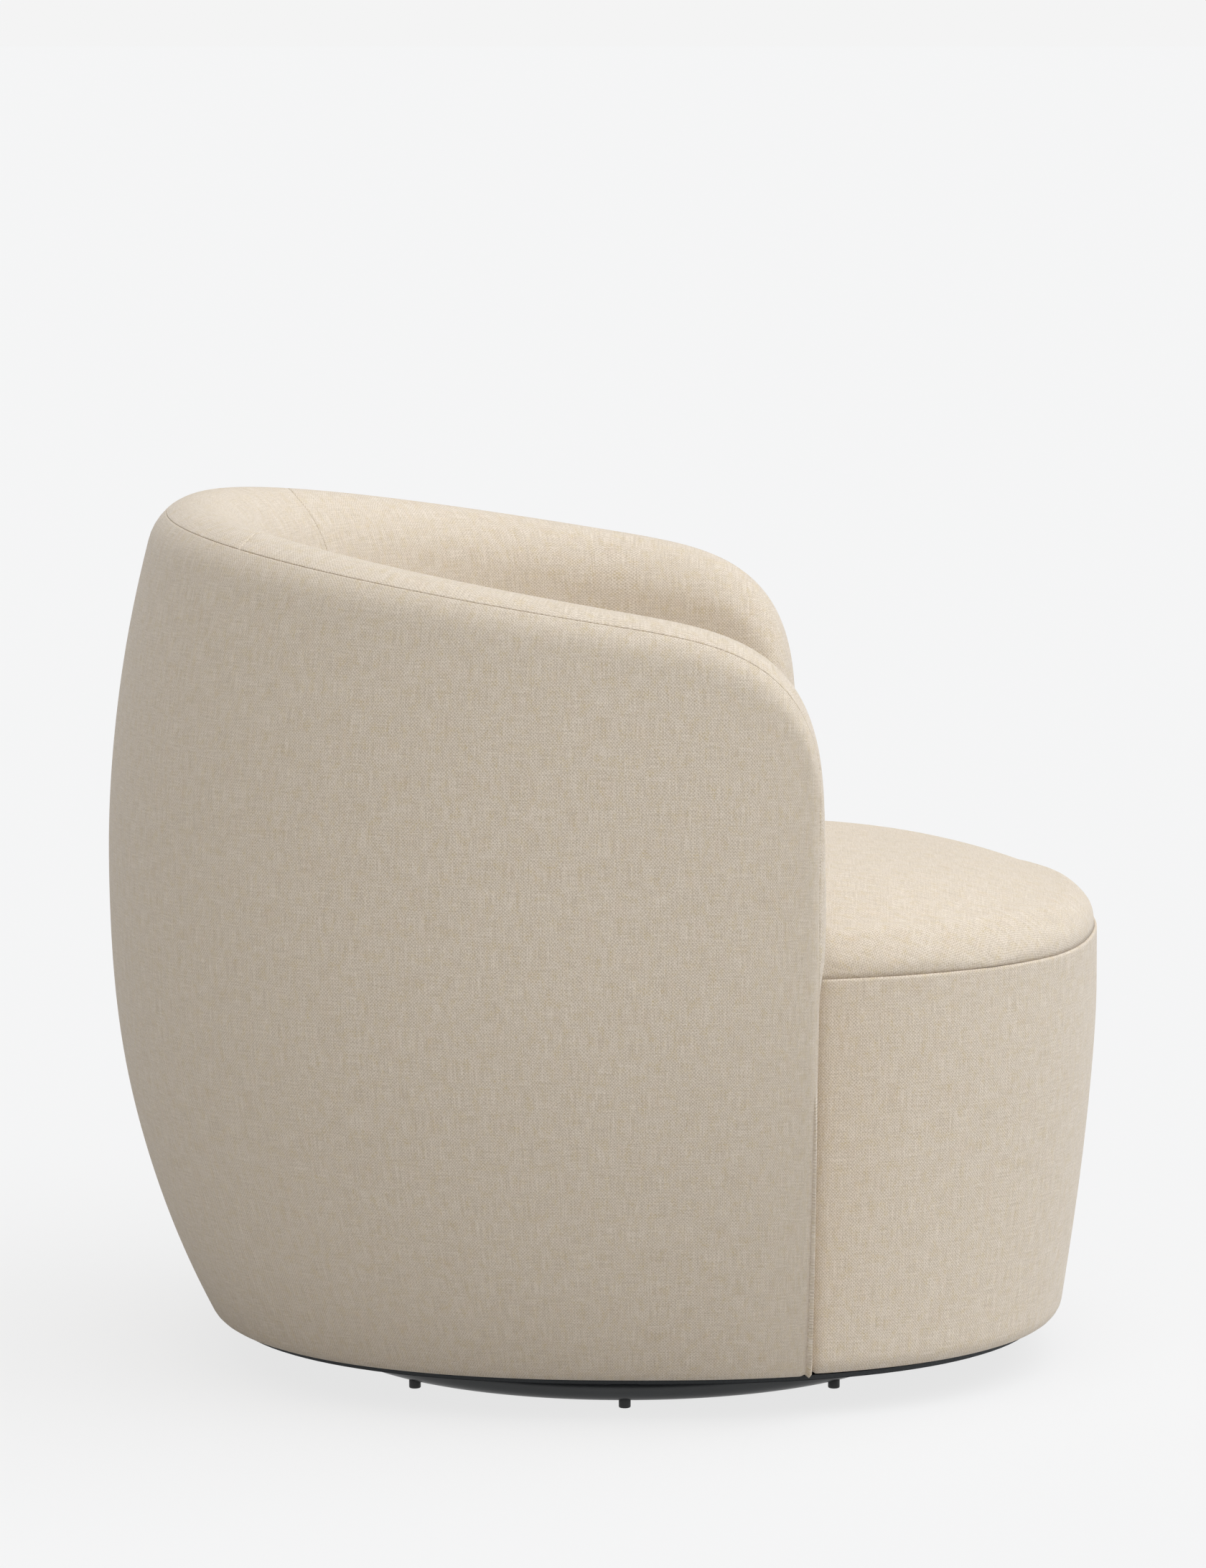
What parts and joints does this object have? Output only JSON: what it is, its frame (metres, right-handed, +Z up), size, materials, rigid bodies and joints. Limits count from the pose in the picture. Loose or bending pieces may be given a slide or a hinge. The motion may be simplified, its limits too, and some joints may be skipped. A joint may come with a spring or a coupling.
{
  "type": "swivel barrel chair",
  "caption": "Upholstered barrel chair whose rounded back runs into sloping arms round a crowned seat, on a swivel over a low black steel ring.",
  "frame": {"origin": "on the swivel axis at floor level, in the plane of the undersides of the glides", "axes": "+Z up along the swivel axis, -Y towards the front of the seat, +X towards the sitter's left arm"},
  "size_m": [0.8098, 0.8086, 0.7069],
  "materials": {
    "linen": "woven linen weave",
    "black_steel": "satin black",
    "glide_nylon": "matte",
    "zinc_steel": "zinc plated",
    "ball_steel": "polished",
    "brass": "plain",
    "plywood": "raw birch plywood",
    "bent_board": "raw bent board",
    "dark_panel": "matte",
    "dust_cloth": "non-woven",
    "webbing": "woven webbing",
    "foam": "cut foam"
  },
  "bodies": {
    "base": {"base_ring": "black_steel", "base_cross": "black_steel", "base_glides": "glide_nylon", "swivel_lower_plate": "zinc_steel", "pivot_pin": "zinc_steel", "pivot_washer": "zinc_steel", "pivot_lock_nut": "zinc_steel", "lower_plate_bolts": "zinc_steel", "lower_plate_nuts": "zinc_steel"},
    "bearing": {"swivel_balls": "ball_steel", "swivel_ball_cage": "brass"},
    "chair": {"swivel_upper_plate": "zinc_steel", "upper_plate_screws": "zinc_steel", "base_board": "plywood", "bottom_panel": "dark_panel", "dust_cover": "dust_cloth", "shell_ribs": "plywood", "arm_posts": "plywood", "top_rail": "plywood", "outer_board": "bent_board", "seat_posts": "plywood", "seat_ring": "plywood", "front_former": "bent_board", "webbing_straps": "webbing", "seat_foam": "foam", "back_foam": "foam", "left_arm_foam": "foam", "right_arm_foam": "foam", "outer_cover": "linen", "back_cover": "linen", "left_arm_cover": "linen", "right_arm_cover": "linen", "seat_top_cover": "linen", "seat_border": "linen"}
  },
  "joints": [
    {"name": "swivel", "type": "hinge", "parent": "base", "child": "chair", "pos_m": [0, 0, 0], "axis": [0, 0, 1], "continuous": true},
    {"name": "cage_turn", "type": "hinge", "parent": "base", "child": "bearing", "pos_m": [0, 0, 0], "axis": [0, 0, 1], "continuous": true}
  ],
  "couplings": [
    {"joint": "cage_turn", "follows": "swivel", "ratio": 0.5}
  ]
}
